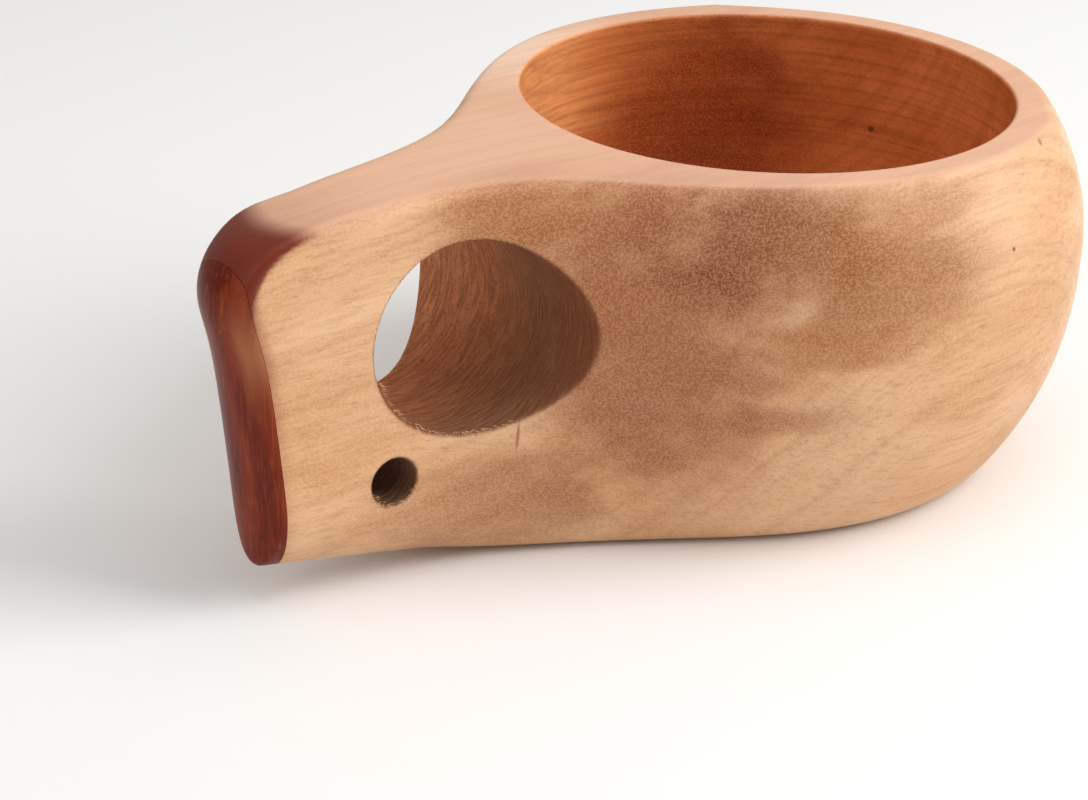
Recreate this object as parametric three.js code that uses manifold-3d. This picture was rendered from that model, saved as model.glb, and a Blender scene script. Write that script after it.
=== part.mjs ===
// Kuksa: a carved wooden drinking cup. Millimetres, +Z up.
// The origin is the centre of the flat foot. The handle points to -X.
// Four pieces: the carved cup body, the dark slip glued on the end of its handle,
// and the two wooden dowels hidden in that glue joint.
import * as THREE from "three";
import { ParametricGeometry } from "three/addons/geometries/ParametricGeometry.js";
import { mergeVertices } from "three/addons/utils/BufferGeometryUtils.js";
import Module from "manifold-3d";

// ---------------------------------------------------------------- driving dimensions

const GAP = 0.3; // clear space left between pieces that touch

// Bowl, a body of revolution about the Z axis
const RIM_HEIGHT = 57.6; // foot to the flat rim
const BELLY_RADIUS = 48.95; // widest radius, outside
const BELLY_HEIGHT = 37.3; // height of the widest ring
const BELLY_UP = 38.87; // how far the curve above the belly would reach
const BELLY_DOWN = 49.63; // how far the curve below the belly would reach
const POWER_UP = 2.026; // 2 is an ellipse, more is squarer
const POWER_DOWN = 2.176;
const MOUTH_RADIUS = 37.0;
const HOLLOW_RADIUS = 39.2; // the hollow is a little wider inside than at its mouth
const HOLLOW_DEPTH = 50.6; // rim to the bottom of the hollow
const MOUTH_LIP = 0.6; // rounding of the mouth's inner edge

// Handle, a tapering slab that flares into the bowl
const TIP_HALF_WIDTH = 5.7; // half thickness at the far end
const TIP_X = -97.4;
const TAPER = 0.097; // half thickness gained per mm towards the bowl
const LEAN_OUT = 0.013; // half thickness gained per mm of height
const FLARE_TOP = 27.2; // blend between the handle and the bowl at the rim
const FLARE_MID = 26.0; // the same blend lower down
const UNDERSIDE_TIP = 6.6; // height of the handle's underside at its end
const UNDERSIDE_ROOT = -0.2; // and where it meets the bowl
const UNDERSIDE_ROUND = 5.57; // rounding of the underside, sideways
const KEEL_TIP = 12; // how far up that rounding reaches at the handle's end
const KEEL_ROOT = 6; // and where it meets the bowl
const TOP_RISE = 0.085; // the handle's top lifts a little off the rim
const TOP_FALL = 0.002; // and comes back down
const TOP_START = -41; // where that begins
const END_X = -98.84; // the handle's end face, 10 mm below the rim
const END_LEAN = 0.175; // it leans in towards the foot
const END_BOW = -0.001;
const END_BEAK = 1.0; // a slight beak below the shoulder
const BEAK_HEIGHT = 48;
const BEAK_SPREAD = 7;
const END_SHOULDER = 12.0; // rounding between the top and the end face

// Slip of dark wood on the end of the handle, flat where it is glued and rounded outside
const SLIP_EDGE = 1.2; // thickness at its two long edges
const SLIP_CROWN = 1.75; // how much thicker it is along its middle
const DOWEL_RADIUS = 2.0;
const DOWEL_IN_BODY = 7.0;
const DOWEL_IN_SLIP = 1.6;
const DOWEL_UPPER_Z = 41;
const DOWEL_LOWER_Z = 20;

// Bores through the handle
const FINGER_X = -65.4;
const FINGER_Z = 37.3;
const FINGER_RADIUS = 14.4;
const FINGER_RISE = 0.085; // rise per mm towards the far side
const FINGER_YAW = 0.055; // and drift towards the handle's end
const LANYARD_X = -76.0;
const LANYARD_Z = 16.85;
const LANYARD_RADIUS = 3.5;

const AROUND = 104; // facets round the cup
const UPDOWN = 27; // facets from the underside to the top
const BORE_FACETS = 36;

// ---------------------------------------------------------------- the carved outside

// Smooth union of two distance-like values over a blend of width k.
function blend(a, b, k) {
  const h = Math.max(k - Math.abs(a - b), 0) / k;
  return Math.min(a, b) - (h * h * k) / 4;
}

function superRadius(rho, dz) {
  const up = dz > 0;
  const power = up ? POWER_UP : POWER_DOWN;
  const reach = up ? BELLY_UP : BELLY_DOWN;
  return ((rho / BELLY_RADIUS) ** power + (Math.abs(dz) / reach) ** power) ** (1 / power);
}

// Below zero inside the bowl and handle, before the top, the end and the foot are sawn flat.
function carved(x, y, z) {
  const bowl = (superRadius(Math.hypot(x, y), z - BELLY_HEIGHT) - 1) * BELLY_RADIUS * 0.92;
  const along = Math.max(x - TIP_X, -8);
  const half = TIP_HALF_WIDTH + TAPER * along + LEAN_OUT * (z - 30);
  const share = THREE.MathUtils.clamp((x + 94) / 44, -0.3, 1.3);
  const under = THREE.MathUtils.lerp(UNDERSIDE_TIP, UNDERSIDE_ROOT, share);
  const qy = Math.abs(y) - half + UNDERSIDE_ROUND;
  const keel = THREE.MathUtils.lerp(KEEL_TIP, KEEL_ROOT, THREE.MathUtils.clamp(share, 0, 1));
  const qz = ((under + keel - z) * UNDERSIDE_ROUND) / keel;
  const outside = Math.hypot(Math.max(qy, 0), Math.max(qz, 0));
  const slab = outside + Math.min(Math.max(qy, qz), 0) - UNDERSIDE_ROUND;
  const handle = Math.max(slab, x - 5);
  const s = THREE.MathUtils.smoothstep(z, 30, 57);
  const solid = blend(bowl, handle, THREE.MathUtils.lerp(FLARE_MID, FLARE_TOP, s));
  return Math.max(solid, z - 66, -x - 112, -z - 3);
}

// The skin is found along fans of rays that start on a spine inside the wood. The fans
// turn about the bowl's axis, slide along the handle, and turn again at its end.
const SPINE_Z = 30;

function fan(u) {
  const far = u > 0.5;
  const s = 1 - Math.abs(2 * u - 1); // 0 at the handle's end, 1 at the bowl's far side
  let x = 0;
  let angle = 0; // measured from -X
  if (s < 0.1) {
    x = -101;
    angle = (s / 0.1) * 90;
  } else if (s < 0.48) {
    const t = (0.48 - s) / 0.38;
    x = -101 * t ** 1.1;
    angle = 24 + 66 * Math.min(t * 1.12, 1);
  } else {
    angle = 24 + 156 * ((s - 0.48) / 0.52);
  }
  return { x, angle: THREE.MathUtils.degToRad(angle), side: far ? 1 : -1 };
}

function skinPoint(u, v, target) {
  const { x, angle, side } = fan(u);
  const climb = (v - 0.5) * Math.PI;
  const dx = -Math.cos(angle) * Math.cos(climb);
  const dy = side * Math.sin(angle) * Math.cos(climb);
  const dz = Math.sin(climb);
  let out = 0;
  while (carved(x + dx * out, dy * out, SPINE_Z + dz * out) < 0) out += 1;
  let inner = out - 1;
  for (let i = 0; i < 30; i++) {
    const middle = (inner + out) / 2;
    if (carved(x + dx * middle, dy * middle, SPINE_Z + dz * middle) < 0) inner = middle;
    else out = middle;
  }
  target.set(x + dx * inner, dy * inner, SPINE_Z + dz * inner);
}

// ---------------------------------------------------------------- solids

const wasm = await Module();
wasm.setup();

// A closed three.js geometry as a solid, with its seams merged.
function solid(geometry) {
  const bare = geometry.index ? geometry.toNonIndexed() : geometry.clone();
  bare.deleteAttribute("normal");
  bare.deleteAttribute("uv");
  const merged = mergeVertices(bare, 1e-3);
  const index = merged.index.array;
  const faces = [];
  for (let i = 0; i < index.length; i += 3) {
    const [a, b, c] = [index[i], index[i + 1], index[i + 2]];
    if (a !== b && b !== c && c !== a) faces.push(a, b, c);
  }
  const made = new wasm.Manifold(
    new wasm.Mesh({
      numProp: 3,
      vertProperties: merged.attributes.position.array,
      triVerts: new Uint32Array(faces),
    }),
  );
  if (made.volume() > 0) return made;
  for (let i = 0; i < faces.length; i += 3) {
    [faces[i + 1], faces[i + 2]] = [faces[i + 2], faces[i + 1]];
  }
  return new wasm.Manifold(
    new wasm.Mesh({
      numProp: 3,
      vertProperties: merged.attributes.position.array,
      triVerts: new Uint32Array(faces),
    }),
  );
}

function geometryOf(made) {
  const { vertProperties, triVerts } = made.getMesh();
  const geometry = new THREE.BufferGeometry();
  geometry.setAttribute("position", new THREE.BufferAttribute(new Float32Array(vertProperties), 3));
  geometry.setIndex(new THREE.BufferAttribute(new Uint32Array(triVerts), 1));
  const flat = geometry.toNonIndexed();
  flat.computeVertexNormals();
  return flat;
}

// Side view of the sawn blank: the top line, the round shoulder, the leaning end face and
// the flat foot. "back" moves the end line into the wood.
function topLine(x) {
  const u = Math.max(0, TOP_START - x);
  return RIM_HEIGHT + TOP_RISE * u - TOP_FALL * u * u;
}

function endLine(z, back) {
  const v = RIM_HEIGHT - 10 - z;
  const beak = END_BEAK * Math.exp(-(((z - BEAK_HEIGHT) / BEAK_SPREAD) ** 2));
  return END_X + back + END_LEAN * v + END_BOW * v * v - beak;
}

// How far the end face stands out beyond its two edges.
function crown(y) {
  return SLIP_CROWN * Math.max(0, 1 - (y / TIP_HALF_WIDTH) ** 2);
}

function sideProfile(x, y, z) {
  const top = z - topLine(x);
  const end = (endLine(z, -crown(y)) - x) * 0.985;
  return -blend(-top, -end, END_SHOULDER);
}

// A side-view outline made into a slab that is wider than the cup.
function slabSolid(outline) {
  const shape = new THREE.Shape(outline);
  const slab = new THREE.ExtrudeGeometry(shape, { depth: 120, bevelEnabled: false, steps: 1 });
  slab.rotateX(Math.PI / 2);
  slab.translate(0, 60, 0);
  return solid(slab);
}

// Everything on the cup's side of the glue line, "back" behind the end face.
function inboardSolid(back) {
  const outline = [new THREE.Vector2(80, -10), new THREE.Vector2(80, 90)];
  for (let z = 90; z >= -10; z -= 4) outline.push(new THREE.Vector2(endLine(z, back), z));
  return slabSolid(outline);
}

// The outline of the blank in one upright plane at y, seen from a point inside it.
const PROFILE_CENTRE = { x: -70, z: 30 };

function profileOutline(y) {
  const outline = [];
  const reach = (degrees) => {
    const a = THREE.MathUtils.degToRad(degrees);
    let [inner, out] = [0, 130];
    for (let i = 0; i < 40; i++) {
      const middle = (inner + out) / 2;
      const x = PROFILE_CENTRE.x + middle * Math.cos(a);
      const z = PROFILE_CENTRE.z + middle * Math.sin(a);
      if (sideProfile(x, y, z) < 0) inner = middle;
      else out = middle;
    }
    const x = PROFILE_CENTRE.x + inner * Math.cos(a);
    return new THREE.Vector3(x, y, PROFILE_CENTRE.z + inner * Math.sin(a));
  };
  outline.push(new THREE.Vector3(60, y, 0));
  outline.push(new THREE.Vector3(60, y, RIM_HEIGHT));
  for (let degrees = 44; degrees <= 120; degrees += 8) outline.push(reach(degrees));
  for (let degrees = 124; degrees <= 168; degrees += 4) outline.push(reach(degrees));
  for (let degrees = 176; degrees <= 208; degrees += 8) outline.push(reach(degrees));
  outline.push(new THREE.Vector3(endLine(0, -crown(y)), y, 0));
  return outline;
}

// The blank: its outlines set side by side across the handle, and closed at both ends.
function profileSolid() {
  const stations = [-60];
  for (let i = -3.5; i <= 3.5; i++) stations.push((i / 3.5) * TIP_HALF_WIDTH);
  stations.push(60);
  const rows = stations.map(profileOutline);
  const count = rows[0].length;
  const corners = [];
  for (let i = 0; i < count; i++) {
    const next = (i + 1) % count;
    for (let j = 0; j + 1 < rows.length; j++) {
      const [a, b, c, d] = [rows[j][i], rows[j][next], rows[j + 1][next], rows[j + 1][i]];
      corners.push(a, b, c, a, c, d);
    }
    const first = new THREE.Vector3(PROFILE_CENTRE.x, -60, PROFILE_CENTRE.z);
    const last = new THREE.Vector3(PROFILE_CENTRE.x, 60, PROFILE_CENTRE.z);
    corners.push(first, rows[0][next], rows[0][i]);
    corners.push(last, rows[rows.length - 1][i], rows[rows.length - 1][next]);
  }
  return solid(new THREE.BufferGeometry().setFromPoints(corners));
}

// The hollow of the bowl, turned about Z, from its bottom to above the rim.
function hollowSolid() {
  const floor = RIM_HEIGHT - HOLLOW_DEPTH;
  const points = [new THREE.Vector2(0, floor)];
  const steps = 16;
  for (let i = 1; i <= steps; i++) {
    const a = (i / steps) * (Math.PI / 2);
    const r = HOLLOW_RADIUS * Math.sin(a) ** 0.72;
    const z = floor + 30 * (1 - Math.cos(a));
    points.push(new THREE.Vector2(r, z));
  }
  points.push(new THREE.Vector2(HOLLOW_RADIUS - 0.5, RIM_HEIGHT - 12));
  points.push(new THREE.Vector2(MOUTH_RADIUS + 0.15, RIM_HEIGHT - MOUTH_LIP * 2));
  points.push(new THREE.Vector2(MOUTH_RADIUS, RIM_HEIGHT - MOUTH_LIP));
  points.push(new THREE.Vector2(MOUTH_RADIUS + MOUTH_LIP, RIM_HEIGHT + 0.01));
  points.push(new THREE.Vector2(MOUTH_RADIUS + MOUTH_LIP, RIM_HEIGHT + 12));
  points.push(new THREE.Vector2(0, RIM_HEIGHT + 12));
  const turned = new THREE.LatheGeometry(points, 64);
  turned.rotateX(Math.PI / 2);
  return solid(turned);
}

// A bore across the handle. Towards the far side it climbs by "rise" and drifts by "yaw".
function boreSolid(x, z, radius, rise, yaw) {
  const bore = new THREE.CylinderGeometry(radius, radius, 120, BORE_FACETS);
  bore.rotateX(Math.atan(rise));
  bore.rotateZ(Math.atan(yaw));
  bore.translate(x, 0, z);
  return solid(bore);
}

// Where a dowel crosses the glue line, and the slope of the end face there.
function dowelFrame(z) {
  const slope = endLine(z + 0.5, SLIP_EDGE) - endLine(z - 0.5, SLIP_EDGE);
  return { x: endLine(z, SLIP_EDGE), z, tilt: Math.atan(slope) };
}

// A dowel along X, square to the end face. "grow" makes the socket wider and deeper.
function dowelGeometry(z, grow) {
  const frame = dowelFrame(z);
  const length = DOWEL_IN_BODY + DOWEL_IN_SLIP + 2 * grow;
  const dowel = new THREE.CylinderGeometry(DOWEL_RADIUS + grow, DOWEL_RADIUS + grow, length, 20);
  dowel.rotateZ(Math.PI / 2);
  dowel.translate((DOWEL_IN_BODY - DOWEL_IN_SLIP) / 2, 0, 0);
  dowel.rotateY(frame.tilt);
  dowel.translate(frame.x, 0, frame.z);
  return dowel;
}

const skin = solid(new ParametricGeometry(skinPoint, AROUND, UPDOWN));
const blank = skin.intersect(profileSolid());
const inboard = inboardSolid(SLIP_EDGE + GAP / 2);
const outboard = inboardSolid(SLIP_EDGE - GAP / 2);
const sockets = solid(dowelGeometry(DOWEL_UPPER_Z, GAP)).add(solid(dowelGeometry(DOWEL_LOWER_Z, GAP)));

const cup = blank
  .intersect(inboard)
  .subtract(hollowSolid())
  .subtract(boreSolid(FINGER_X, FINGER_Z, FINGER_RADIUS, FINGER_RISE, FINGER_YAW))
  .subtract(boreSolid(LANYARD_X, LANYARD_Z, LANYARD_RADIUS, 0, 0))
  .subtract(sockets);
const slip = blank.subtract(outboard).subtract(sockets);

// ---------------------------------------------------------------- the assembly

function wood(color, roughness) {
  return new THREE.MeshStandardMaterial({ color, roughness, metalness: 0 });
}

function piece(name, geometry, material) {
  const mesh = new THREE.Mesh(geometry, material);
  mesh.name = name;
  return mesh;
}

const kuksa = new THREE.Group();
kuksa.name = "kuksa";
kuksa.add(
  piece("cup_body", geometryOf(cup), wood(0xd9ad78, 0.55)),
  piece("handle_end_cap", geometryOf(slip), wood(0x7a2e16, 0.35)),
  piece("cap_dowel_upper", dowelGeometry(DOWEL_UPPER_Z, 0), wood(0xdcbb8c, 0.7)),
  piece("cap_dowel_lower", dowelGeometry(DOWEL_LOWER_Z, 0), wood(0xdcbb8c, 0.7)),
);

export default kuksa;
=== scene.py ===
# %% [markdown]
# # A kuksa: a carved wooden drinking cup
# The real cup is one block of pale wood, carved by hand: a round bowl that flows into a
# short handle with a finger hole and a small lanyard hole. The end of the handle carries
# a dark, polished slip. The frame brings in the solid model made in CAD. This lesson
# replaces the two pieces of wood that show with finely carved meshes, in the same place.

import math

import bmesh
import bpy
import numpy as np
from mathutils import Matrix, Vector


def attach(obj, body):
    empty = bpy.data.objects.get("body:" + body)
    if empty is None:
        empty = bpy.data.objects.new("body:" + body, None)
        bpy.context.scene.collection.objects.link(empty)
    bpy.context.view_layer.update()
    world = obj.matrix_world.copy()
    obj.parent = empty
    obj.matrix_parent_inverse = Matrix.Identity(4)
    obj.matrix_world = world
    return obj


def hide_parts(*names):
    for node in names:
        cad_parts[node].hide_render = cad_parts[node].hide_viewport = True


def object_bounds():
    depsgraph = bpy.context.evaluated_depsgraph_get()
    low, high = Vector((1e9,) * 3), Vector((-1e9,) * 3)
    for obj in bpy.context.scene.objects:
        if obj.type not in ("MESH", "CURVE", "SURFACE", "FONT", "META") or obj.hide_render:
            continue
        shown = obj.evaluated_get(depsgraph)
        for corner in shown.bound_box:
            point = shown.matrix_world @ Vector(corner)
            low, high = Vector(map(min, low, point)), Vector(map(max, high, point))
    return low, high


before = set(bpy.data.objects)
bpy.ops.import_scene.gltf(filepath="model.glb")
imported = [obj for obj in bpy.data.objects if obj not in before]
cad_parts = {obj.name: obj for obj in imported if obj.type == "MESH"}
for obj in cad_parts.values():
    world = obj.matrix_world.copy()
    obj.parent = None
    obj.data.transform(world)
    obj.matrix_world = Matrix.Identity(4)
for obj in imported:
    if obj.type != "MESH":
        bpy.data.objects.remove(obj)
cad_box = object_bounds()
print("CAD box", cad_box)

# %% [markdown]
# ## Sizes
# All the sizes are in millimetres, the way a carver would write them down, and turned
# to metres once, when a mesh is made. The belly's radius and the reach of the grid come from the frame.

# %% Driving sizes
MM = 0.001
(low_x, low_y, low_z), (high_x, high_y, high_z) = [[v / MM for v in corner] for corner in cad_box]

BELLY_RADIUS = high_x
BELLY_HEIGHT = 37.3
BELLY_UP = 38.87
BELLY_DOWN = 49.63
POWER_UP = 2.026
POWER_DOWN = 2.176
RIM_HEIGHT = 57.6
MOUTH_RADIUS = 37.0
HOLLOW_RADIUS = 39.2
HOLLOW_FLOOR = 7.0
HOLLOW_ROUND = 30.0
HOLLOW_TUCK = 1.7
HOLLOW_POWER = 2.78

# The handle is a slab that widens from its tip. A pair gives the tip and the root, or
# the low and the high value.
TIP_HALF_WIDTH = 5.7
TIP_X = -97.4
TAPER = 0.097
LEAN_OUT = 0.013
LEAN_FROM = 30
FLARE = (26.0, 27.2)
FLARE_HEIGHTS = (30, 57)
UNDERSIDE = (6.6, -0.2)
UNDERSIDE_ROUND = 5.57
KEEL = (12.0, 6.0)
KEEL_START = -94
KEEL_LENGTH = 44
HANDLE_RUNS_TO = 5
TOP_RISE = 0.085
TOP_FALL = 0.002
TOP_START = -41.0
END_X = -98.84
END_LEAN = 0.175
END_BOW = -0.001
END_BEAK = 1.0
BEAK_HEIGHT = 48.0
BEAK_SPREAD = 7.0
END_SHOULDER = 12.0
END_SQUARE = 0.985

GAP = 0.3
GLUE_LINE = 0.06
SLIP_EDGE = 1.2
SLIP_CROWN = 1.75
DOWEL_RADIUS = 2.0
DOWEL_IN_BODY = 7.0
DOWEL_IN_SLIP = 1.6
DOWEL_HEIGHTS = (41.0, 20.0)
SOCKET_SIDES = 24

FINGER = dict(x=-65.4, z=37.3, radius=14.4, rise=0.085, yaw=0.055)
LANYARD = dict(x=-76.0, z=16.85, radius=3.5, rise=0.0, yaw=0.0)
print("belly radius", round(BELLY_RADIUS, 2), "mm, length", round(high_x - low_x, 1), "mm")

# %% [markdown]
# ## The camera
# The camera looks down on the cup from the handle's side with a telephoto lens. It is
# made first, so that every later step can be looked at through it.

# %% Camera
def direction(azimuth, elevation):
    a, e = math.radians(azimuth), math.radians(elevation)
    return Vector((-math.sin(a) * math.cos(e), -math.cos(a) * math.cos(e), math.sin(e)))


CAMERA_AZIMUTH = 40.97
CAMERA_ELEVATION = 24.33
CAMERA_ROLL = 1.76
CAMERA_DISTANCE = 0.45215
CAMERA_ASIDE = 0.033497
CAMERA_BELOW = 0.046964

back = direction(CAMERA_AZIMUTH, CAMERA_ELEVATION)
right = Vector((back.y, -back.x, 0)).normalized() * -1
up = back.cross(right)
roll = math.radians(CAMERA_ROLL)
side = right * math.cos(roll) + up * math.sin(roll)
over = up * math.cos(roll) - right * math.sin(roll)
mouth_middle = Vector((0, 0, RIM_HEIGHT * MM))
stand = mouth_middle - side * CAMERA_ASIDE - over * CAMERA_BELOW + back * CAMERA_DISTANCE

camera_data = bpy.data.cameras.new("camera")
camera_data.sensor_width = 36
camera_data.lens = 99.62
camera_data.clip_start = 0.01
camera = bpy.data.objects.new("camera", camera_data)
bpy.context.scene.collection.objects.link(camera)
turn = Matrix((side, over, back)).transposed()
camera.matrix_world = Matrix.Translation(stand) @ turn.to_4x4()
bpy.context.scene.camera = camera
print("camera at", [round(v, 4) for v in stand])

# %% [markdown]
# ## Floor and light
# A pale floor, a bright even surround and three large soft lamps show the colour of the
# wood without hard shadows, as a plain studio table does.

# %% Helpers for colour and for shader nodes
def linear(colour):
    """An sRGB hex colour as linear red, green, blue and alpha."""
    parts = [int(colour[i : i + 2], 16) / 255 for i in (1, 3, 5)]
    return [c / 12.92 if c < 0.04045 else ((c + 0.055) / 1.055) ** 2.4 for c in parts] + [1]


def add(tree, kind, inputs=None, **settings):
    """One node: its settings, and its inputs as values or as sockets to link from."""
    node = tree.nodes.new(kind)
    for name, value in settings.items():
        setattr(node, name, value)
    for name, value in (inputs or {}).items():
        if isinstance(value, bpy.types.NodeSocket):
            tree.links.new(value, node.inputs[name])
        else:
            node.inputs[name].default_value = value
    return node


def new_material(name):
    """An empty material with a Principled shader wired to its output."""
    material = bpy.data.materials.new(name)
    material.use_nodes = True
    tree = material.node_tree
    tree.nodes.clear()
    shader = add(tree, "ShaderNodeBsdfPrincipled")
    add(tree, "ShaderNodeOutputMaterial", {"Surface": shader.outputs["BSDF"]})
    return material, tree, shader


print("mid grey is", round(linear("#808080")[0], 3), "in linear light")


# %% Lamps and surround
def soft_lamp(name, azimuth, elevation, distance, size, power):
    data = bpy.data.lights.new(name, "AREA")
    data.size = size
    data.energy = power
    lamp = bpy.data.objects.new(name, data)
    outward = direction(azimuth, elevation)
    lamp.location = outward * distance
    lamp.rotation_euler = outward.to_track_quat("Z", "Y").to_euler()
    bpy.context.scene.collection.objects.link(lamp)
    return lamp


soft_lamp("window_light", -38, 38, 0.9, 0.6, 6.4)
soft_lamp("left_fill", 80, 30, 1.0, 0.7, 1.4)
soft_lamp("top_light", -10, 80, 0.9, 0.8, 2.4)

world = bpy.data.worlds.new("pale_surround")
world.use_nodes = True
world.node_tree.nodes["Background"].inputs["Color"].default_value = linear("#ffffff")
world.node_tree.nodes["Background"].inputs["Strength"].default_value = 0.42
bpy.context.scene.world = world
bpy.context.scene.view_settings.view_transform = "Standard"
print("lamps:", len(bpy.data.lights))

# %% Floor, a little below the foot so that the two faces don't fight
FLOOR_HALF = 3.0
FLOOR_DROP = 0.0003
corners = [(-FLOOR_HALF, -FLOOR_HALF, 0), (FLOOR_HALF, -FLOOR_HALF, 0)]
corners += [(FLOOR_HALF, FLOOR_HALF, 0), (-FLOOR_HALF, FLOOR_HALF, 0)]
floor_mesh = bpy.data.meshes.new("floor")
floor_mesh.from_pydata(corners, [], [(0, 1, 2, 3)])
floor = bpy.data.objects.new("floor", floor_mesh)
floor.location.z = -FLOOR_DROP
bpy.context.scene.collection.objects.link(floor)
paper, paper_tree, paper_shader = new_material("pale_paper")
paper_shader.inputs["Base Color"].default_value = linear("#f2f1ef")
paper_shader.inputs["Roughness"].default_value = 0.9
floor_mesh.materials.append(paper)
print("floor", 2 * FLOOR_HALF, "m square")

# %% [markdown]
# ## The carved shape as a formula
# A carver starts with a block and keeps taking wood away. The same can be said with a
# field: a function that is below zero inside the wood and above zero outside. The
# smaller of two fields joins two shapes and the larger one cuts. A smooth version of
# each leaves the rounded joint that a knife and sandpaper leave, with its width given
# in millimetres. This suits a cup that is all soft transitions better than modelling
# it face by face.

# %% Smooth joins and cuts
def join(a, b, width):
    """The two shapes together, with a rounded inner corner."""
    h = np.maximum(width - np.abs(a - b), 0) / width
    return np.minimum(a, b) - h * h * width / 4


def cut(a, b, width):
    """What both fields call wood, with a rounded outer edge."""
    return -join(-a, -b, width)


def step(value, start, end):
    """0 before start, 1 after end, smooth between them."""
    s = np.clip((value - start) / (end - start), 0, 1)
    return s * s * (3 - 2 * s)


def mix(a, b, share):
    return a + (b - a) * share


print("a 12 mm cut rounds its corner by", float(cut(0.0, 0.0, 12)), "mm")


# %% The outside: a turned bowl joined to a tapering slab
def outside(x, y, z):
    dz = z - BELLY_HEIGHT
    power = np.where(dz > 0, POWER_UP, POWER_DOWN)
    reach = np.where(dz > 0, BELLY_UP, BELLY_DOWN)
    ring = ((np.hypot(x, y) / BELLY_RADIUS) ** power + (np.abs(dz) / reach) ** power + 1e-9) ** (1 / power)
    bowl = (ring - 1) * BELLY_RADIUS * 0.92
    half = TIP_HALF_WIDTH + TAPER * np.maximum(x - TIP_X, -8) + LEAN_OUT * (z - LEAN_FROM)
    share = (x - KEEL_START) / KEEL_LENGTH
    under = mix(UNDERSIDE[0], UNDERSIDE[1], np.clip(share, -0.3, 1.3))
    keel = mix(KEEL[0], KEEL[1], np.clip(share, 0, 1))
    qy = np.abs(y) - half + UNDERSIDE_ROUND
    qz = (under + keel - z) * UNDERSIDE_ROUND / keel
    slab = np.hypot(np.maximum(qy, 0), np.maximum(qz, 0)) + np.minimum(np.maximum(qy, qz), 0)
    handle = np.maximum(slab - UNDERSIDE_ROUND, x - HANDLE_RUNS_TO)
    return join(bowl, handle, mix(FLARE[0], FLARE[1], step(z, *FLARE_HEIGHTS)))


print("half width of the handle's tip", TIP_HALF_WIDTH, "mm")


# %% The top, the rounded shoulder and the end of the handle
def end_line(z):
    v = RIM_HEIGHT - 10 - z
    beak = END_BEAK * np.exp(-(((z - BEAK_HEIGHT) / BEAK_SPREAD) ** 2))
    return END_X + END_LEAN * v + END_BOW * v * v - beak


def profile(x, y, z):
    u = np.maximum(0, TOP_START - x)
    top = z - (RIM_HEIGHT + TOP_RISE * u - TOP_FALL * u * u)
    crown = SLIP_CROWN * np.maximum(0, 1 - (y / TIP_HALF_WIDTH) ** 2)
    end = (end_line(z) - crown - x) * END_SQUARE
    return cut(top, end, END_SHOULDER)


print("glued end at mid height, x =", round(end_line(BELLY_HEIGHT), 1), "mm")


# %% The hollow and the bores, below zero where the wood is taken away
def hollow(x, y, z):
    centre = HOLLOW_FLOOR + HOLLOW_ROUND
    rho = np.hypot(x, y)
    t = np.clip((z - centre) / (RIM_HEIGHT - centre), 0, 1.2)
    wall = rho - (HOLLOW_RADIUS - (HOLLOW_RADIUS - MOUTH_RADIUS) * t**HOLLOW_TUCK)
    a = rho / HOLLOW_RADIUS
    b = np.maximum(centre - z, 0) / HOLLOW_ROUND
    level = a**HOLLOW_POWER + b**2
    rise = HOLLOW_POWER * a ** (HOLLOW_POWER - 1) / HOLLOW_RADIUS
    steep = np.hypot(rise, 2 * b / HOLLOW_ROUND) + 1e-6
    return np.where(z > centre, wall, (level - 1) / steep)


def bore(x, y, z, hole):
    """Distance to the wall of a straight bore that runs along Y and leans a little."""
    axis = np.array([-math.tan(hole["yaw"]), 1, math.tan(hole["rise"])])
    axis /= np.linalg.norm(axis)
    px, py, pz = x - hole["x"], y, z - hole["z"]
    along = px * axis[0] + py * axis[1] + pz * axis[2]
    off = np.sqrt((px - along * axis[0]) ** 2 + (py - along * axis[1]) ** 2 + (pz - along * axis[2]) ** 2)
    return off - hole["radius"]


print("finger hole", 2 * FINGER["radius"], "mm, lanyard hole", 2 * LANYARD["radius"], "mm across")


# %% Everything together
def ridge_width(x, z):
    """The top edge is crisp round the bowl, soft on the handle and crisper at its end."""
    soft = step(-x, 25, 60) * (1 - 0.85 * step(-x, 82, 93)) * step(z, 22, 42)
    return mix(0.8, 2.4, soft)


def cuts(p):
    """Each surface of the cup as its own field, in the order that they are cut."""
    x, y, z = p[..., 0], p[..., 1], p[..., 2]
    return [
        outside(x, y, z),
        profile(x, y, z),
        -z,
        -hollow(x, y, z),
        -bore(x, y, z, FINGER),
        -bore(x, y, z, LANYARD),
    ]


def wood_field(p):
    surfaces = cuts(p)
    widths = [None, ridge_width(p[..., 0], p[..., 2]), 2.0, 0.7, 0.6, 0.6]
    field = surfaces[0]
    for surface, width in zip(surfaces[1:], widths[1:]):
        field = cut(field, surface, width)
    return field


print("middle of the foot", round(float(wood_field(np.array([0.0, 0.0, 3.0]))), 2), "mm, so inside the wood")

# %% [markdown]
# ## From a formula to a mesh
# A surface net lays a mesh over a field: every grid cell that the surface passes
# through gets one vertex, and every grid edge that crosses it gets one face. The
# vertices are then moved onto the exact surface, spread out evenly, and the faces
# beside sharp edges are split until an edge is drawn finely. Marching cubes would leave
# thin slivers along every grid line, and a voxel remesh would blur the crisp rim.

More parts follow.
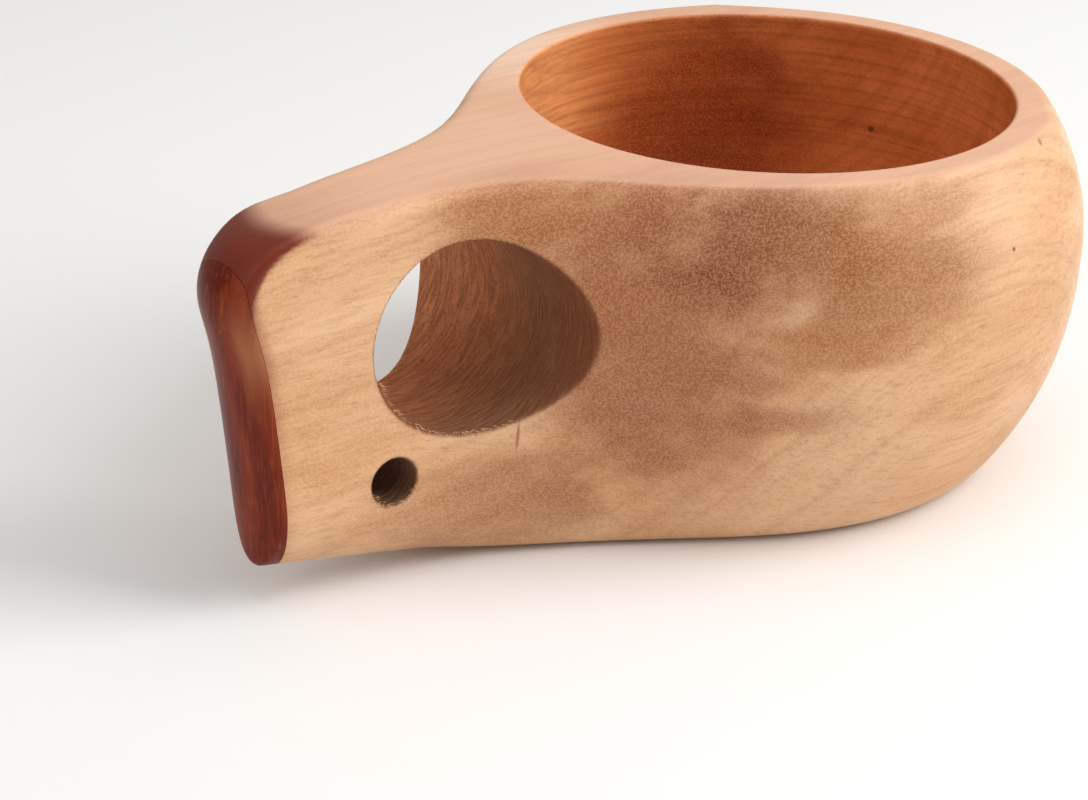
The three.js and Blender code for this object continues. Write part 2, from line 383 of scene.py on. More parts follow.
# %% Surface net
def surface_net(low, high, cell):
    axes = [np.arange(a, b + cell, cell) for a, b in zip(low, high)]
    grid = np.stack(np.meshgrid(*axes, indexing="ij"), -1)
    values = wood_field(grid)
    shape = np.array(values.shape) - 1
    total = np.zeros((shape.prod(), 3))
    count = np.zeros(shape.prod())
    quads = []
    for axis in range(3):
        first = np.moveaxis(values, axis, 0)[:-1]
        second = np.moveaxis(values, axis, 0)[1:]
        a, b = np.moveaxis(first, 0, axis), np.moveaxis(second, 0, axis)
        where = np.argwhere((a < 0) != (b < 0))
        va, vb = a[tuple(where.T)], b[tuple(where.T)]
        spot = np.array(low) + where * cell
        spot[:, axis] += cell * va / (va - vb)
        u, v = (axis + 1) % 3, (axis + 2) % 3
        around = []
        for du, dv in ((1, 1), (0, 1), (0, 0), (1, 0)):
            home = where.copy()
            home[:, u] -= du
            home[:, v] -= dv
            home = np.ravel_multi_index(tuple(home.T), tuple(shape))
            np.add.at(total, home, spot)
            np.add.at(count, home, 1)
            around.append(home)
        around = np.stack(around, -1)
        outward = (va < 0)[:, None]
        quads.append(np.where(outward, around, around[:, ::-1]))
    quads = np.concatenate(quads)
    used = np.flatnonzero(count)
    renumber = np.full(len(count), -1)
    renumber[used] = np.arange(len(used))
    return total[used] / count[used][:, None], renumber[quads]


CELL = 1.3
print("grid cells of", CELL, "mm")


# %% Move points onto the surface and spread them out
def slope_of(points, reach=0.02):
    columns = []
    for axis in range(3):
        offset = np.zeros(3)
        offset[axis] = reach
        columns.append(wood_field(points + offset) - wood_field(points - offset))
    return np.stack(columns, -1) / (2 * reach)


def settle(points, rounds, furthest):
    for _ in range(rounds):
        slope = slope_of(points)
        steep = (slope**2).sum(1) + 1e-9
        move = -(wood_field(points) / steep)[:, None] * slope
        size = np.linalg.norm(move, axis=1) + 1e-12
        points = points + move * np.minimum(1, furthest / size)[:, None]
    return points


def spread(points, triangles, rounds):
    pairs = np.concatenate([triangles[:, [0, 1]], triangles[:, [1, 2]], triangles[:, [2, 0]]])
    for _ in range(rounds):
        total = np.zeros_like(points)
        count = np.zeros(len(points))
        for a, b in (pairs.T, pairs[:, ::-1].T):
            np.add.at(total, a, points[b])
            np.add.at(count, a, 1)
        move = total / count[:, None] - points
        normal = slope_of(points)
        normal /= np.linalg.norm(normal, axis=1)[:, None] + 1e-9
        move -= (move * normal).sum(1)[:, None] * normal
        points = settle(points + move * 0.5, 2, 0.4)
    return points


# %% Split the faces that lie beside an edge
def wanted_length(points):
    """How long a mesh edge may be: short beside the cup's edges, longer in open wood."""
    ordered = np.sort(np.stack(cuts(points), -1), -1)
    beside = np.maximum(-ordered[..., -2], 0)
    length = np.clip(0.42 + 0.35 * (beside - 0.5), 0.42, 2.2)
    return np.where(points[..., 0] < -90, np.minimum(length, 0.9), length)


def refine(points, triangles):
    corners = np.sort(np.concatenate([triangles[:, [0, 1]], triangles[:, [1, 2]], triangles[:, [2, 0]]]), 1)
    edges, which = np.unique(corners, axis=0, return_inverse=True)
    which = which.reshape(3, -1).T
    middle = points[edges].mean(1)
    length = np.linalg.norm(points[edges[:, 0]] - points[edges[:, 1]], axis=1)
    split = length > 1.4 * wanted_length(middle)
    number = np.full(len(edges), -1)
    number[split] = len(points) + np.arange(split.sum())
    points = np.concatenate([points, middle[split]])
    marks = number[which]
    made = []
    for pattern in range(8):
        wants = np.array([(pattern >> i) & 1 for i in range(3)], bool)
        rows = np.flatnonzero(((marks >= 0) == wants).all(1))
        turn_by = {1: 0, 2: 1, 4: 2, 3: 0, 6: 1, 5: 2}.get(pattern, 0)
        t = np.roll(triangles[rows], -turn_by, 1)
        m = np.roll(marks[rows], -turn_by, 1)
        a, b, c = t.T
        ab, bc, ca = m.T
        count = wants.sum()
        if count == 0:
            made += [(a, b, c)]
        elif count == 1:
            made += [(a, ab, c), (ab, b, c)]
        elif count == 2:
            made += [(ab, b, bc), (a, ab, bc), (a, bc, c)]
        else:
            made += [(a, ab, ca), (ab, b, bc), (ca, bc, c), (ab, bc, ca)]
    return points, np.concatenate([np.stack(t, -1) for t in made])


# %% Carve the whole cup
low = np.array([low_x, low_y, low_z]) - 2.1 * CELL
high = np.array([high_x, high_y, high_z]) + 2.1 * CELL
points, quads = surface_net(low, high, CELL)
points = settle(points, 6, 0.7)
first_cut = np.linalg.norm(points[quads[:, 0]] - points[quads[:, 2]], axis=1)
other_cut = np.linalg.norm(points[quads[:, 1]] - points[quads[:, 3]], axis=1)
shorter = (first_cut < other_cut)[:, None]
triangles = np.concatenate([
    np.where(shorter, quads[:, [0, 1, 2]], quads[:, [1, 2, 3]]),
    np.where(shorter, quads[:, [0, 2, 3]], quads[:, [1, 3, 0]]),
])
points = spread(points, triangles, 3)
for _ in range(3):
    points, triangles = refine(points, triangles)
    points = spread(settle(points, 3, 0.5), triangles, 2)
points = settle(points, 6, 0.3)
print(len(points), "vertices,", len(triangles), "triangles on the carved surface")
print("farthest vertex from the surface", round(float(np.abs(wood_field(points)).max()), 3), "mm")

# %% [markdown]
# ## Sawing off the slip
# The glue line follows the end of the handle, so the end is straightened for a moment:
# every point is slid along X by the end line at its own height, a flat plane cuts the
# mesh, the openings are closed, and the points slide back. Both pieces then match, with
# the thin gap of the glue line between them.

# %% The round sockets for the two dowels, square to the glue line
def drill_socket(work, height, keep_side, glue_x):
    slope = end_line(height + 0.5) - end_line(height - 0.5)
    axis = np.array([1, 0, -slope]) / math.hypot(1, slope)
    across = np.array([slope, 0, 1]) / math.hypot(1, slope)
    centre = np.array([end_line(height) + SLIP_EDGE, 0, height])
    depth = keep_side * ((DOWEL_IN_BODY if keep_side > 0 else DOWEL_IN_SLIP) + GAP)

    def slid(spot):
        return work.verts.new((spot[0] - end_line(spot[2]), spot[1], spot[2]))

    mouth, floor_ring = [], []
    for i in range(SOCKET_SIDES):
        angle = 2 * math.pi * i / SOCKET_SIDES
        out = (across * math.cos(angle) + np.array([0, 1, 0]) * math.sin(angle)) * (DOWEL_RADIUS + GAP)
        reach = 0.0
        for _ in range(8):
            spot = centre + out + axis * reach
            reach -= spot[0] - end_line(spot[2]) - glue_x
        mouth.append(slid(centre + out + axis * reach))
        floor_ring.append(slid(centre + out + axis * depth))
    for i in range(SOCKET_SIDES):
        j = (i + 1) % SOCKET_SIDES
        work.faces.new((mouth[i], mouth[j], floor_ring[j], floor_ring[i])).material_index = 1
    work.faces.new(floor_ring).material_index = 1


print("dowel sockets at heights", DOWEL_HEIGHTS, "mm")


# %% Two closed pieces from one carved surface
def sawn_piece(name, keep_side, glue_x):
    mesh = bpy.data.meshes.new(name)
    slid = points.copy()
    slid[:, 0] -= end_line(slid[:, 2])
    mesh.from_pydata(slid.tolist(), [], triangles.tolist())
    work = bmesh.new()
    work.from_mesh(mesh)
    every = work.verts[:] + work.edges[:] + work.faces[:]
    side = {"clear_inner": keep_side > 0, "clear_outer": keep_side < 0}
    bmesh.ops.bisect_plane(work, geom=every, dist=0.004, plane_co=(glue_x, 0, 0), plane_no=(1, 0, 0), **side)
    for height in DOWEL_HEIGHTS:
        drill_socket(work, height, keep_side, glue_x)
    rim = [edge for edge in work.edges if edge.is_boundary]
    sealed = bmesh.ops.triangle_fill(work, edges=rim, use_beauty=True, use_dissolve=False)
    for item in sealed["geom"]:
        if isinstance(item, bmesh.types.BMFace):
            item.material_index = 1
    for edge in rim:
        edge.smooth = False
    bmesh.ops.recalc_face_normals(work, faces=work.faces[:])
    for vert in work.verts:
        vert.co.x += end_line(vert.co.z)
        vert.co *= MM
    work.to_mesh(mesh)
    work.free()
    piece = bpy.data.objects.new(name, mesh)
    bpy.context.scene.collection.objects.link(piece)
    return piece


body = sawn_piece("carved_cup", 1, SLIP_EDGE + GLUE_LINE / 2)
slip = sawn_piece("dark_slip", -1, SLIP_EDGE - GLUE_LINE / 2)


# %% Smooth shading from the exact surface, flat on the glued faces
def shade_exactly(piece):
    mesh = piece.data
    mesh.shade_smooth()
    spots = np.empty(len(mesh.vertices) * 3, np.float32)
    mesh.vertices.foreach_get("co", spots)
    normal = slope_of(spots.reshape(-1, 3).astype(float) / MM, 0.05)
    normal /= np.linalg.norm(normal, axis=1)[:, None] + 1e-9
    corner = np.empty(len(mesh.loops), np.int32)
    mesh.loops.foreach_get("vertex_index", corner)
    shading = normal[corner]
    for face in mesh.polygons:
        if face.material_index == 1:
            shading[list(face.loop_indices)] = face.normal
    mesh.normals_split_custom_set(shading.tolist())
    loose = sum(1 for count in np.bincount(edge_faces(mesh)) if count != 2)
    print(piece.name, len(mesh.polygons), "faces, edges without two faces:", loose)


def edge_faces(mesh):
    used = np.empty(len(mesh.loops), np.int32)
    mesh.loops.foreach_get("edge_index", used)
    return used


shade_exactly(body)
shade_exactly(slip)

# %% [markdown]
# ## Torn fibres
# A drill leaves a few torn fibres standing on the lower lip of each hole, where it runs
# against the grain. They are tiny tapered hairs, so a Geometry Nodes tree sets them
# along a curve that follows the lip, each with its own length and lean.

# %% The lip of a bore, as a list of places in the wood
def lip(hole, first, last, count):
    spots = []
    for i in range(count):
        angle = math.radians(first + (last - first) * i / (count - 1))
        x = hole["x"] + (hole["radius"] - 0.1) * math.cos(angle)
        z = hole["z"] + (hole["radius"] - 0.1) * math.sin(angle)
        inner, outer = 0.0, 40.0
        for _ in range(30):
            y = (inner + outer) / 2
            spot = (x + hole["yaw"] * y, -y, z - hole["rise"] * y)
            if float(outside(*np.array(spot))) < 0:
                inner = y
            else:
                outer = y
        spots.append(Vector(spot) * MM)
    return spots


print("lowest point of the finger hole's lip", lip(FINGER, 270, 280, 2)[0])


# %% The tree that sets the fibres
def fibre_tree():
    tree = bpy.data.node_groups.new("torn_fibres", "GeometryNodeTree")
    face = tree.interface
    face.new_socket("Geometry", in_out="INPUT", socket_type="NodeSocketGeometry")
    face.new_socket("Count", in_out="INPUT", socket_type="NodeSocketInt")
    face.new_socket("Length", in_out="INPUT", socket_type="NodeSocketFloat")
    face.new_socket("Width", in_out="INPUT", socket_type="NodeSocketFloat")
    face.new_socket("Seed", in_out="INPUT", socket_type="NodeSocketInt")
    face.new_socket("Material", in_out="INPUT", socket_type="NodeSocketMaterial")
    face.new_socket("Geometry", in_out="OUTPUT", socket_type="NodeSocketGeometry")
    given = add(tree, "NodeGroupInput")
    seed = given.outputs["Seed"]
    along = add(
        tree, "GeometryNodeResampleCurve",
        {"Curve": given.outputs["Geometry"], "Count": given.outputs["Count"]},
    )
    taper = {"Radius Top": 0.00001, "Radius Bottom": given.outputs["Width"]}
    hair = add(tree, "GeometryNodeMeshCone", {"Vertices": 5, **taper, "Depth": given.outputs["Length"]})
    lean = add(
        tree, "FunctionNodeRandomValue",
        {0: (0.9, -0.9, -0.9), 1: (2.2, 0.9, 0.9), "Seed": seed}, data_type="FLOAT_VECTOR",
    )
    size = add(tree, "FunctionNodeRandomValue", {2: 0.35, 3: 1.15, "Seed": seed}, data_type="FLOAT")
    turned = {"Rotation": lean.outputs[0], "Scale": size.outputs[1]}
    set_out = add(
        tree, "GeometryNodeInstanceOnPoints",
        {"Points": along.outputs[0], "Instance": hair.outputs[0], **turned},
    )
    jitter = add(
        tree, "FunctionNodeRandomValue",
        {0: (-0.0003, -0.0002, -0.0003), 1: (0.0003, 0.0001, 0.0003), "Seed": seed}, data_type="FLOAT_VECTOR",
    )
    moved = add(
        tree, "GeometryNodeTranslateInstances",
        {"Instances": set_out.outputs[0], "Translation": jitter.outputs[0], "Local Space": False},
    )
    real = add(tree, "GeometryNodeRealizeInstances", {"Geometry": moved.outputs[0]})
    done = add(
        tree, "GeometryNodeSetMaterial",
        {"Geometry": real.outputs[0], "Material": given.outputs["Material"]},
    )
    add(tree, "NodeGroupOutput", {"Geometry": done.outputs[0]})
    return tree


FIBRES = fibre_tree()
print("fibre tree:", len(FIBRES.nodes), "nodes")


# %% Fibres on one lip, as a plain mesh
def fibres(name, spots, count, length, width, seed, material):
    path = bpy.data.curves.new(name + "_path", "CURVE")
    path.dimensions = "3D"
    spline = path.splines.new("POLY")
    spline.points.add(len(spots) - 1)
    for point, spot in zip(spline.points, spots):
        point.co = (*spot, 1)
    holder = bpy.data.objects.new(name + "_path", path)
    bpy.context.scene.collection.objects.link(holder)
    modifier = holder.modifiers.new("fibres", "NODES")
    modifier.node_group = FIBRES
    values = {"Count": count, "Length": length, "Width": width, "Seed": seed, "Material": material}
    for item in FIBRES.interface.items_tree:
        if item.in_out == "INPUT" and item.name in values:
            modifier[item.identifier] = values[item.name]
    graph = bpy.context.evaluated_depsgraph_get()
    mesh = bpy.data.meshes.new_from_object(holder.evaluated_get(graph))
    bpy.data.objects.remove(holder)
    piece = bpy.data.objects.new(name, mesh)
    bpy.context.scene.collection.objects.link(piece)
    print(name, len(mesh.polygons), "faces")
    return piece


# %% [markdown]
# ## Where each surface is
# The finish of a carved cup changes from place to place: bored walls are torn and
# brown, and wood that is cut across the grain drinks more oil. The hollow and the
# bores are painted darker as shade, the upward-facing top paler as light from above,
# and the slip's rounded arris paler as painted light. The fields already know which
# tool made each spot, so they are kept on the mesh as soft masks that the materials
# can read.

# %% Masks on the vertices
def keep_mask(mesh, name, values):
    layer = mesh.attributes.new(name, "FLOAT", "POINT")
    layer.data.foreach_set("value", values.astype(np.float32))


def end_tilt(p):
    """How far the blank's top has turned down towards the end of the handle."""
    ahead, behind = profile(p[:, 0] - 0.1, p[:, 1], p[:, 2]), profile(p[:, 0] + 0.1, p[:, 1], p[:, 2])
    return (ahead - behind) / 0.2


def paint_masks(piece):
    mesh = piece.data
    spots = np.empty(len(mesh.vertices) * 3, np.float32)
    mesh.vertices.foreach_get("co", spots)
    p = spots.reshape(-1, 3).astype(float) / MM
    normal = slope_of(p, 0.05)
    normal /= np.linalg.norm(normal, axis=1)[:, None] + 1e-9
    _, blank, _, scooped, finger, lanyard = cuts(p)
    sawn = 1 - step(-blank, 0.1, 0.5)
    keep_mask(mesh, "bored", 1 - step(np.minimum(-finger, -lanyard), 0.1, 0.5))
    keep_mask(mesh, "scooped", 1 - step(-scooped, 0.1, 0.6))
    # The upward-facing part of the sawn top, which the wood material paints paler as light from above.
    keep_mask(mesh, "top", sawn * step(normal[:, 2], 0.5, 0.9))
    shoulder = 1 - step(-blank, 0.8, 1.3)
    keep_mask(mesh, "end_grain", shoulder * step(end_tilt(p), 0.03, 0.3))
    keep_mask(mesh, "thong_hole", 1 - step(-lanyard, 0.1, 0.5))
    # Painted light: the slip's rounded arris about 41 mm up is painted paler where light falls on it.
    arris_light_share = np.exp(-(((p[:, 2] - 41) / 5.5) ** 2)) * step(np.abs(p[:, 1]), 2.2, 4.6)
    keep_mask(mesh, "arris_light", arris_light_share)
    bleed = 1 - step(p[:, 0] - end_line(p[:, 2]), SLIP_EDGE, SLIP_EDGE + 2.2)
    keep_mask(mesh, "bleed", bleed * (0.35 + 0.65 * step(p[:, 2], 20, 42)))


paint_masks(body)
paint_masks(slip)
print("masks:", [a.name for a in body.data.attributes if a.domain == "POINT" and a.data_type == "FLOAT"])

# %% [markdown]
# ## Oiled birch
# The cup is birch, carved along the grain, sanded and oiled. Birch is pale and close,
# with soft brown clouds of heartwood, faint growth rings and short fine pores. The
# pattern is a solid one, in the cup's own millimetres, so that it runs through the wood
# from the outside to the hollow as real grain does. The grain lies along X. To the eye
# it is a soft, low gloss with fine level lines.

# %% A place in the wood, in millimetres, slightly waved
def wood_place(tree, waviness):
    where = add(tree, "ShaderNodeTexCoord").outputs["Object"]
    place = add(tree, "ShaderNodeVectorMath", {0: where, 3: 1000.0}, operation="SCALE").outputs[0]
    slow = add(tree, "ShaderNodeVectorMath", {0: place, 1: (0.012, 0.03, 0.03)}, operation="MULTIPLY")
    wave = add(tree, "ShaderNodeTexNoise", {"Vector": slow.outputs[0], "Scale": 1.0, "Detail": 2.0})
    centred = add(tree, "ShaderNodeVectorMath", {0: wave.outputs["Color"], 1: (-0.5, -0.5, -0.5)})
    shift = add(tree, "ShaderNodeVectorMath", {0: centred.outputs[0], 3: waviness}, operation="SCALE")
    waved = add(tree, "ShaderNodeVectorMath", {0: place, 1: shift.outputs[0]})
    return place, waved.outputs[0]


def grain(tree, place, per_mm, detail, low, high, seed=0.0):
    """A streaky pattern from 0 to 1 with the given waves per mm along X, Y and Z."""
    scaled = add(tree, "ShaderNodeVectorMath", {0: place, 1: per_mm}, operation="MULTIPLY")
    moved = add(tree, "ShaderNodeVectorMath", {0: scaled.outputs[0], 1: (seed, seed, seed)})
    noise = add(
        tree, "ShaderNodeTexNoise",
        {"Vector": moved.outputs[0], "Scale": 1.0, "Detail": detail, "Roughness": 0.55},
    )
    spread_out = add(
        tree, "ShaderNodeMapRange",
        {"Value": noise.outputs[0], "From Min": low, "From Max": high}, interpolation_type="SMOOTHSTEP",
    )
    return spread_out.outputs[0]


def blend_in(tree, base, colour, share, way="MIX"):
    """Lay a colour over another by a share."""
    tone = linear(colour) if isinstance(colour, str) else colour
    layers = {0: share, 6: base, 7: tone}
    return add(tree, "ShaderNodeMix", layers, data_type="RGBA", blend_type=way).outputs[2]


def times(tree, a, b):
    return add(tree, "ShaderNodeMath", {0: a, 1: b}, operation="MULTIPLY").outputs[0]


# %% Soft clouds of colour at their places in the wood, some of them painted light and shade, in millimetres
CLOUDS = [
    # what it is, centre, half sizes, colour, strength
    ("red heartwood behind the finger hole", (-44, -23, 37), (21, 18, 33), "#8f4218", 0.85),
    ("dark cloud under the rim", (-33, -33, 51), (22, 13, 8), "#78300a", 0.85),
    ("golden field beside it", (-19, -42, 49), (25, 12, 12), "#8c4c10", 0.82),
    ("brown streak low on the bowl", (-33, -36, 25), (18, 9, 4), "#935026", 0.65),
    ("second streak", (-25, -40, 38), (22, 9, 4), "#a05c22", 0.7),
    ("brown root of the handle", (-62, -11, 9), (30, 12, 9), "#955a2e", 0.75),
    ("brown wood over the finger hole", (-58, -12, 55), (16, 10, 8), "#94521f", 0.85),
    # Partly dark heartwood, partly painted shade on the inner wall that faces away from the lamp.
    ("dark heart and painted shade inside", (15, 33, 38), (24, 15, 24), "#7e3414", 0.85),
    # Painted light: the inside wall that faces the lamp is painted an almost white gold.
    ("painted light on the left wall inside", (-20, 33, 46), (26, 16, 24), "#ffeed4", 0.95),
    # Painted light: the right wall inside is painted paler where the lamp falls on it.
    ("painted light on the right wall inside", (38, -5, 49), (15, 18, 15), "#f4c8a4", 0.7),
    # Painted highlight: the brightly lit far end of the bowl is painted paler pink.
    ("painted highlight at the far end", (36, -32, 38), (20, 16, 26), "#eecfb0", 0.6),
    # Painted shade: a darker strip where the top of the rim rounds over.
    ("painted shade on the rim's rounding", (-14, -41, 57), (16, 5, 5), "#a8683c", 0.5),
]


def lay_clouds(tree, waved, uneven, colour):
    """Uneven is a pattern round 0 that frays the clouds' edges."""
    for _, centre, half, tone, strength in CLOUDS:
        scale = tuple(1 / h for h in half)
        start = tuple(-c / h for c, h in zip(centre, half))
        near = add(tree, "ShaderNodeMapping", {"Vector": waved, "Location": start, "Scale": scale})
        far = add(tree, "ShaderNodeVectorMath", {0: near.outputs[0]}, operation="LENGTH")
        frayed = add(tree, "ShaderNodeMath", {0: far.outputs["Value"], 1: uneven})
        share = add(
            tree, "ShaderNodeMapRange",
            {"Value": frayed.outputs[0], "From Min": 1.2, "From Max": 0.3, "To Max": strength},
            interpolation_type="SMOOTHSTEP",
        )
        colour = blend_in(tree, colour, tone, share.outputs[0])
    return colour


# %% Small knots and a hairline, in millimetres
KNOTS = [
    ("hairline under the finger hole", (-58, -12.5, 20.6), (0.3, 6, 3.0), "#8c4a2c", 0.7),
    ("knot inside the bowl", (37.1, 12.5, 39.9), (0.8, 0.8, 0.7), "#4a1c0a", 0.8),
    ("knot on the rim", (16.8, -39.4, 56.8), (0.7, 0.9, 0.8), "#9a5a3c", 0.7),
    ("pin knot on the bowl", (3.4, -47.7, 45.9), (0.45, 0.6, 0.45), "#6c3a22", 0.9),
]


def lay_knots(tree, place, colour):
    for _, centre, half, tone, strength in KNOTS:
        scale = tuple(1 / h for h in half)
        start = tuple(-c / h for c, h in zip(centre, half))
        near = add(tree, "ShaderNodeMapping", {"Vector": place, "Location": start, "Scale": scale})
        far = add(tree, "ShaderNodeVectorMath", {0: near.outputs[0]}, operation="LENGTH")
        share = add(
            tree, "ShaderNodeMapRange",
            {"Value": far.outputs["Value"], "From Min": 1.0, "From Max": 0.4, "To Max": strength},
        )
        colour = blend_in(tree, colour, tone, share.outputs[0])
    return colour


# %% Growth rings round a heart that lay behind and above the cup
HEART = (0, 70, 95)
RINGS_PER_MM = 0.45


def rings(tree, waved, heart, per_mm, low, high):
    flat = add(tree, "ShaderNodeVectorMath", {0: waved, 1: (0.06, 1, 1)}, operation="MULTIPLY")
    from_heart = add(tree, "ShaderNodeVectorMath", {0: flat.outputs[0], 1: heart}, operation="SUBTRACT")
    radius = add(tree, "ShaderNodeVectorMath", {0: from_heart.outputs[0]}, operation="LENGTH")
    count = times(tree, radius.outputs["Value"], per_mm)
    noise = add(tree, "ShaderNodeTexNoise", {"W": count, "Scale": 1.0, "Detail": 4.0}, noise_dimensions="1D")
    line = add(tree, "ShaderNodeMapRange", {"Value": noise.outputs[0], "From Min": low, "From Max": high})
    return line.outputs[0]


print("growth rings about", round(1 / RINGS_PER_MM, 1), "mm apart")


# %% Oiled birch: clouds, rings, fine grain, pores and sparkle
birch, tree, shader = new_material("oiled_birch")
place, waved = wood_place(tree, 16.0)
_, gentle = wood_place(tree, 4.0)
broad = grain(tree, waved, (0.018, 0.045, 0.045), 3.0, 0.36, 0.66)
cloudy = grain(tree, gentle, (0.03, 0.14, 0.14), 4.0, 0.32, 0.72, 7.0)
uneven = add(tree, "ShaderNodeMath", {0: cloudy, 1: 0.4, 2: -0.2}, operation="MULTIPLY_ADD").outputs[0]
colour = blend_in(tree, linear("#e0b48c"), "#cf9b6c", broad)
colour = lay_clouds(tree, waved, uneven, colour)
colour = blend_in(tree, colour, "#b4744a", times(tree, cloudy, 0.16))
ring_line = rings(tree, gentle, HEART, RINGS_PER_MM, 0.45, 0.66)
colour = blend_in(tree, colour, "#945226", times(tree, ring_line, 0.2))
fine = grain(tree, gentle, (0.03, 1.5, 1.5), 3.0, 0.46, 0.7, 3.0)
colour = blend_in(tree, colour, "#9c6238", times(tree, fine, 0.24))
# Birch pores are about 0.1 mm wide, too fine to show, so they are drawn three times as wide.
pores = grain(tree, gentle, (0.16, 2.8, 2.8), 1.0, 0.6, 0.8, 11.0)
colour = blend_in(tree, colour, "#8a5a38", times(tree, pores, 0.3))
# Cut fibre ends catch the light as specks, here about 0.3 mm across.
speck = grain(tree, place, (2.4, 3.6, 3.6), 1.0, 0.35, 0.68, 5.0)
colour = blend_in(tree, colour, "#f6d0a4", times(tree, speck, 0.2))
colour = lay_knots(tree, place, colour)
print("plain wood:", len(tree.nodes), "nodes")

# %% Oiled birch: the marks of each tool, with painted light and shade
masks = {}
for name in ("bored", "thong_hole", "scooped", "top", "end_grain", "bleed"):
    masks[name] = add(tree, "ShaderNodeAttribute", attribute_name=name).outputs["Fac"]
# Painted light from above: the upward-facing top is laid over with a pale pink tone.
colour = blend_in(tree, colour, "#e4b296", times(tree, masks["top"], 0.62))
# Painted shade in the hollow: its wood is multiplied darker and warmer.
colour = blend_in(tree, colour, "#f8b470", times(tree, masks["scooped"], 0.9), "MULTIPLY")
# The hollow was scraped round and round, which leaves level lines under 1 mm apart.
turning = grain(tree, place, (0.03, 0.03, 1.3), 3.0, 0.4, 0.7, 2.0)
colour = blend_in(tree, colour, "#6b3214", times(tree, turning, times(tree, masks["scooped"], 0.3)))
# The drill's marks run round the bore about 0.5 mm apart, and it tore out small pits.
drilled = grain(tree, gentle, (0.28, 1.9, 0.28), 3.0, 0.28, 0.76, 9.0)
pitted = grain(tree, place, (2.2, 2.6, 2.2), 2.0, 0.5, 0.72, 13.0)
bored_tone = blend_in(tree, linear("#dc8858"), "#a85a30", drilled)
bored_tone = blend_in(tree, bored_tone, "#54240c", times(tree, pitted, 0.55))
# The bore is painted darker towards its front lip, as shade inside the bore.
apart = add(tree, "ShaderNodeSeparateXYZ", {"Vector": place})
nearer = add(
    tree, "ShaderNodeMapRange",
    {"Value": apart.outputs["Y"], "From Min": 6.0, "From Max": -8.0, "To Max": 0.85},
)
bored_tone = blend_in(tree, bored_tone, "#5e2c12", nearer.outputs[0])
# Painted shade deep in the narrow thong hole: its wall is made nearly black-brown.
bored_tone = blend_in(tree, bored_tone, "#2e1507", times(tree, masks["thong_hole"], 0.75))
colour = add(
    tree, "ShaderNodeMix", {0: times(tree, masks["bored"], 0.85), 6: colour, 7: bored_tone}, data_type="RGBA"
).outputs[2]
colour = blend_in(tree, colour, "#8a3c1c", times(tree, masks["bleed"], 0.55))
colour = blend_in(tree, colour, "#6c1a02", times(tree, masks["end_grain"], 0.97))
tree.links.new(colour, shader.inputs["Base Color"])
print("with its tool marks:", len(tree.nodes), "nodes")

# %% Oiled birch: gloss and relief
rough = add(tree, "ShaderNodeMapRange", {"Value": fine, "To Min": 0.46, "To Max": 0.6}).outputs[0]
rough = add(tree, "ShaderNodeMix", {0: masks["bored"], 2: rough, 3: 0.85}, data_type="FLOAT").outputs[0]
rough = add(tree, "ShaderNodeMix", {0: masks["end_grain"], 2: rough, 3: 0.34}, data_type="FLOAT").outputs[0]
tree.links.new(rough, shader.inputs["Roughness"])
shader.inputs["IOR"].default_value = 1.5
shader.inputs["Specular IOR Level"].default_value = 0.3

relief = add(tree, "ShaderNodeBump", {"Height": fine, "Strength": 0.12, "Distance": 0.0001})
relief = add(
    tree, "ShaderNodeBump",
    {"Height": pores, "Strength": 0.25, "Distance": 0.0001, "Normal": relief.outputs[0]}, invert=True,
)
torn = times(tree, drilled, masks["bored"])
relief = add(
    tree, "ShaderNodeBump", {"Height": torn, "Strength": 0.7, "Distance": 0.0005, "Normal": relief.outputs[0]}
)
tree.links.new(relief.outputs[0], shader.inputs["Normal"])
print("oiled birch:", len(tree.nodes), "nodes")

# %% [markdown]
# ## The dark slip
# The slip is a close red-brown hardwood, polished until it shines. Its grain runs up
# the end of the handle, so the streaks stand along Z, and a thin coat of varnish gives
# the clear highlight.

# %% Varnished red-brown hardwood
dark_wood, tree, shader = new_material("varnished_dark_hardwood")
_, waved = wood_place(tree, 6.0)
band = grain(tree, waved, (0.35, 0.35, 0.05), 3.0, 0.35, 0.68)
streak = grain(tree, waved, (2.4, 2.4, 0.07), 3.0, 0.5, 0.74, 4.0)
colour = blend_in(tree, linear("#601603"), "#812b0b", band)
colour = blend_in(tree, colour, "#b0562a", times(tree, streak, 0.35))
# Painted light on the slip's rounded arris: a paler brown laid over the dark wood.
arris_light = add(tree, "ShaderNodeAttribute", attribute_name="arris_light").outputs["Fac"]
colour = blend_in(tree, colour, "#b4744a", times(tree, arris_light, 0.6))
tree.links.new(colour, shader.inputs["Base Color"])
shader.inputs["Roughness"].default_value = 0.42
shader.inputs["IOR"].default_value = 1.45
shader.inputs["Specular IOR Level"].default_value = 0.12
shader.inputs["Coat Weight"].default_value = 0.15
shader.inputs["Coat Roughness"].default_value = 0.15
relief = add(tree, "ShaderNodeBump", {"Height": streak, "Strength": 0.12, "Distance": 0.0001})
tree.links.new(relief.outputs[0], shader.inputs["Normal"])
print("dark hardwood:", len(tree.nodes), "nodes")

# %% [markdown]
# ## Raw and glue-stained birch
# Wood without oil is paler and quite matt. Only the dowels and the torn fibres have it.
# The glued faces and their sockets are stained dark by the glue and the varnish, which
# is why the joint shows as a thin dark line.

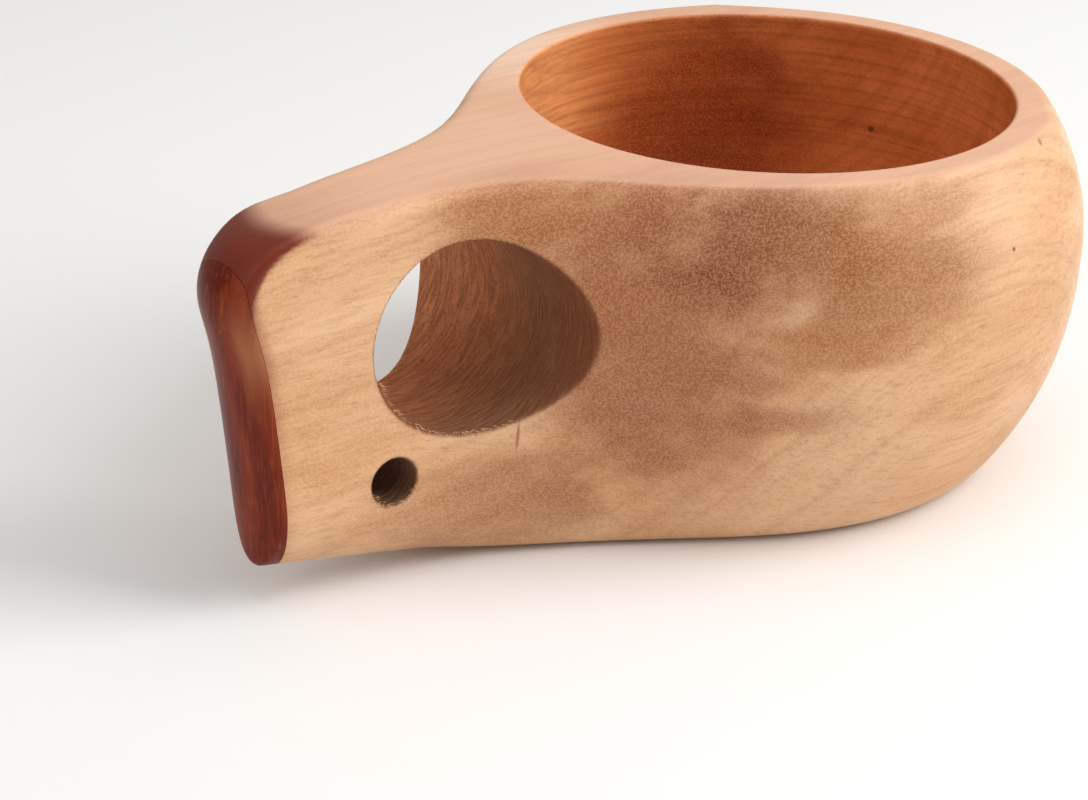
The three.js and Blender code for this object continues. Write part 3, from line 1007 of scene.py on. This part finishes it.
# %% Raw birch, for the dowels and the torn fibres
raw_birch, tree, shader = new_material("raw_birch")
_, waved = wood_place(tree, 6.0)
line = grain(tree, waved, (0.08, 1.4, 1.4), 3.0, 0.38, 0.7)
colour = blend_in(tree, linear("#e2c193"), "#c79a68", line)
tree.links.new(colour, shader.inputs["Base Color"])
shader.inputs["Roughness"].default_value = 0.75
relief = add(tree, "ShaderNodeBump", {"Height": line, "Strength": 0.2, "Distance": 0.0001})
tree.links.new(relief.outputs[0], shader.inputs["Normal"])
print("raw birch:", len(tree.nodes), "nodes")

# %% Glue-stained birch, for the two glued faces
stained, tree, shader = new_material("glue_stained_birch")
place, _ = wood_place(tree, 6.0)
line = grain(tree, place, (0.9, 0.9, 0.9), 3.0, 0.38, 0.7)
tree.links.new(blend_in(tree, linear("#4a1f10"), "#6b3119", line), shader.inputs["Base Color"])
shader.inputs["Roughness"].default_value = 0.7
print("glue-stained birch:", len(tree.nodes), "nodes")

# %% [markdown]
# ## Handing the pieces over
# Each piece rides on the cup, which has only one body, and gets its materials here. The
# two carved pieces stand in for their CAD solids, and the fibres are extra. The hidden
# dowels keep their CAD shape and only get the raw birch.

# %% Fibres on the two lower lips: angles in degrees, count, length and width in metres, seed
finger_fibres = fibres("finger_hole_fibres", lip(FINGER, 196, 292, 60), 85, 0.0008, 0.00006, 3, raw_birch)
lanyard_fibres = fibres("lanyard_hole_fibres", lip(LANYARD, 200, 340, 30), 34, 0.0007, 0.00006, 8, raw_birch)
for piece in (finger_fibres, lanyard_fibres):
    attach(piece, "root")

# %% Materials, slots and what each piece replaces
# The second slot is for the faces that the saw and the drill made.
for piece, wood in ((body, birch), (slip, dark_wood)):
    piece.data.materials.append(wood)
    piece.data.materials.append(stained)
for dowel in ("cap_dowel_upper", "cap_dowel_lower"):
    bpy.data.objects[dowel].material_slots[0].material = raw_birch
for piece, node, slot in ((body, "cup_body", "body_wood"), (slip, "handle_end_cap", "end_wood")):
    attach(piece, "root")
    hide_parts(node)
print("materials on the cup:", [m.name for m in body.data.materials])
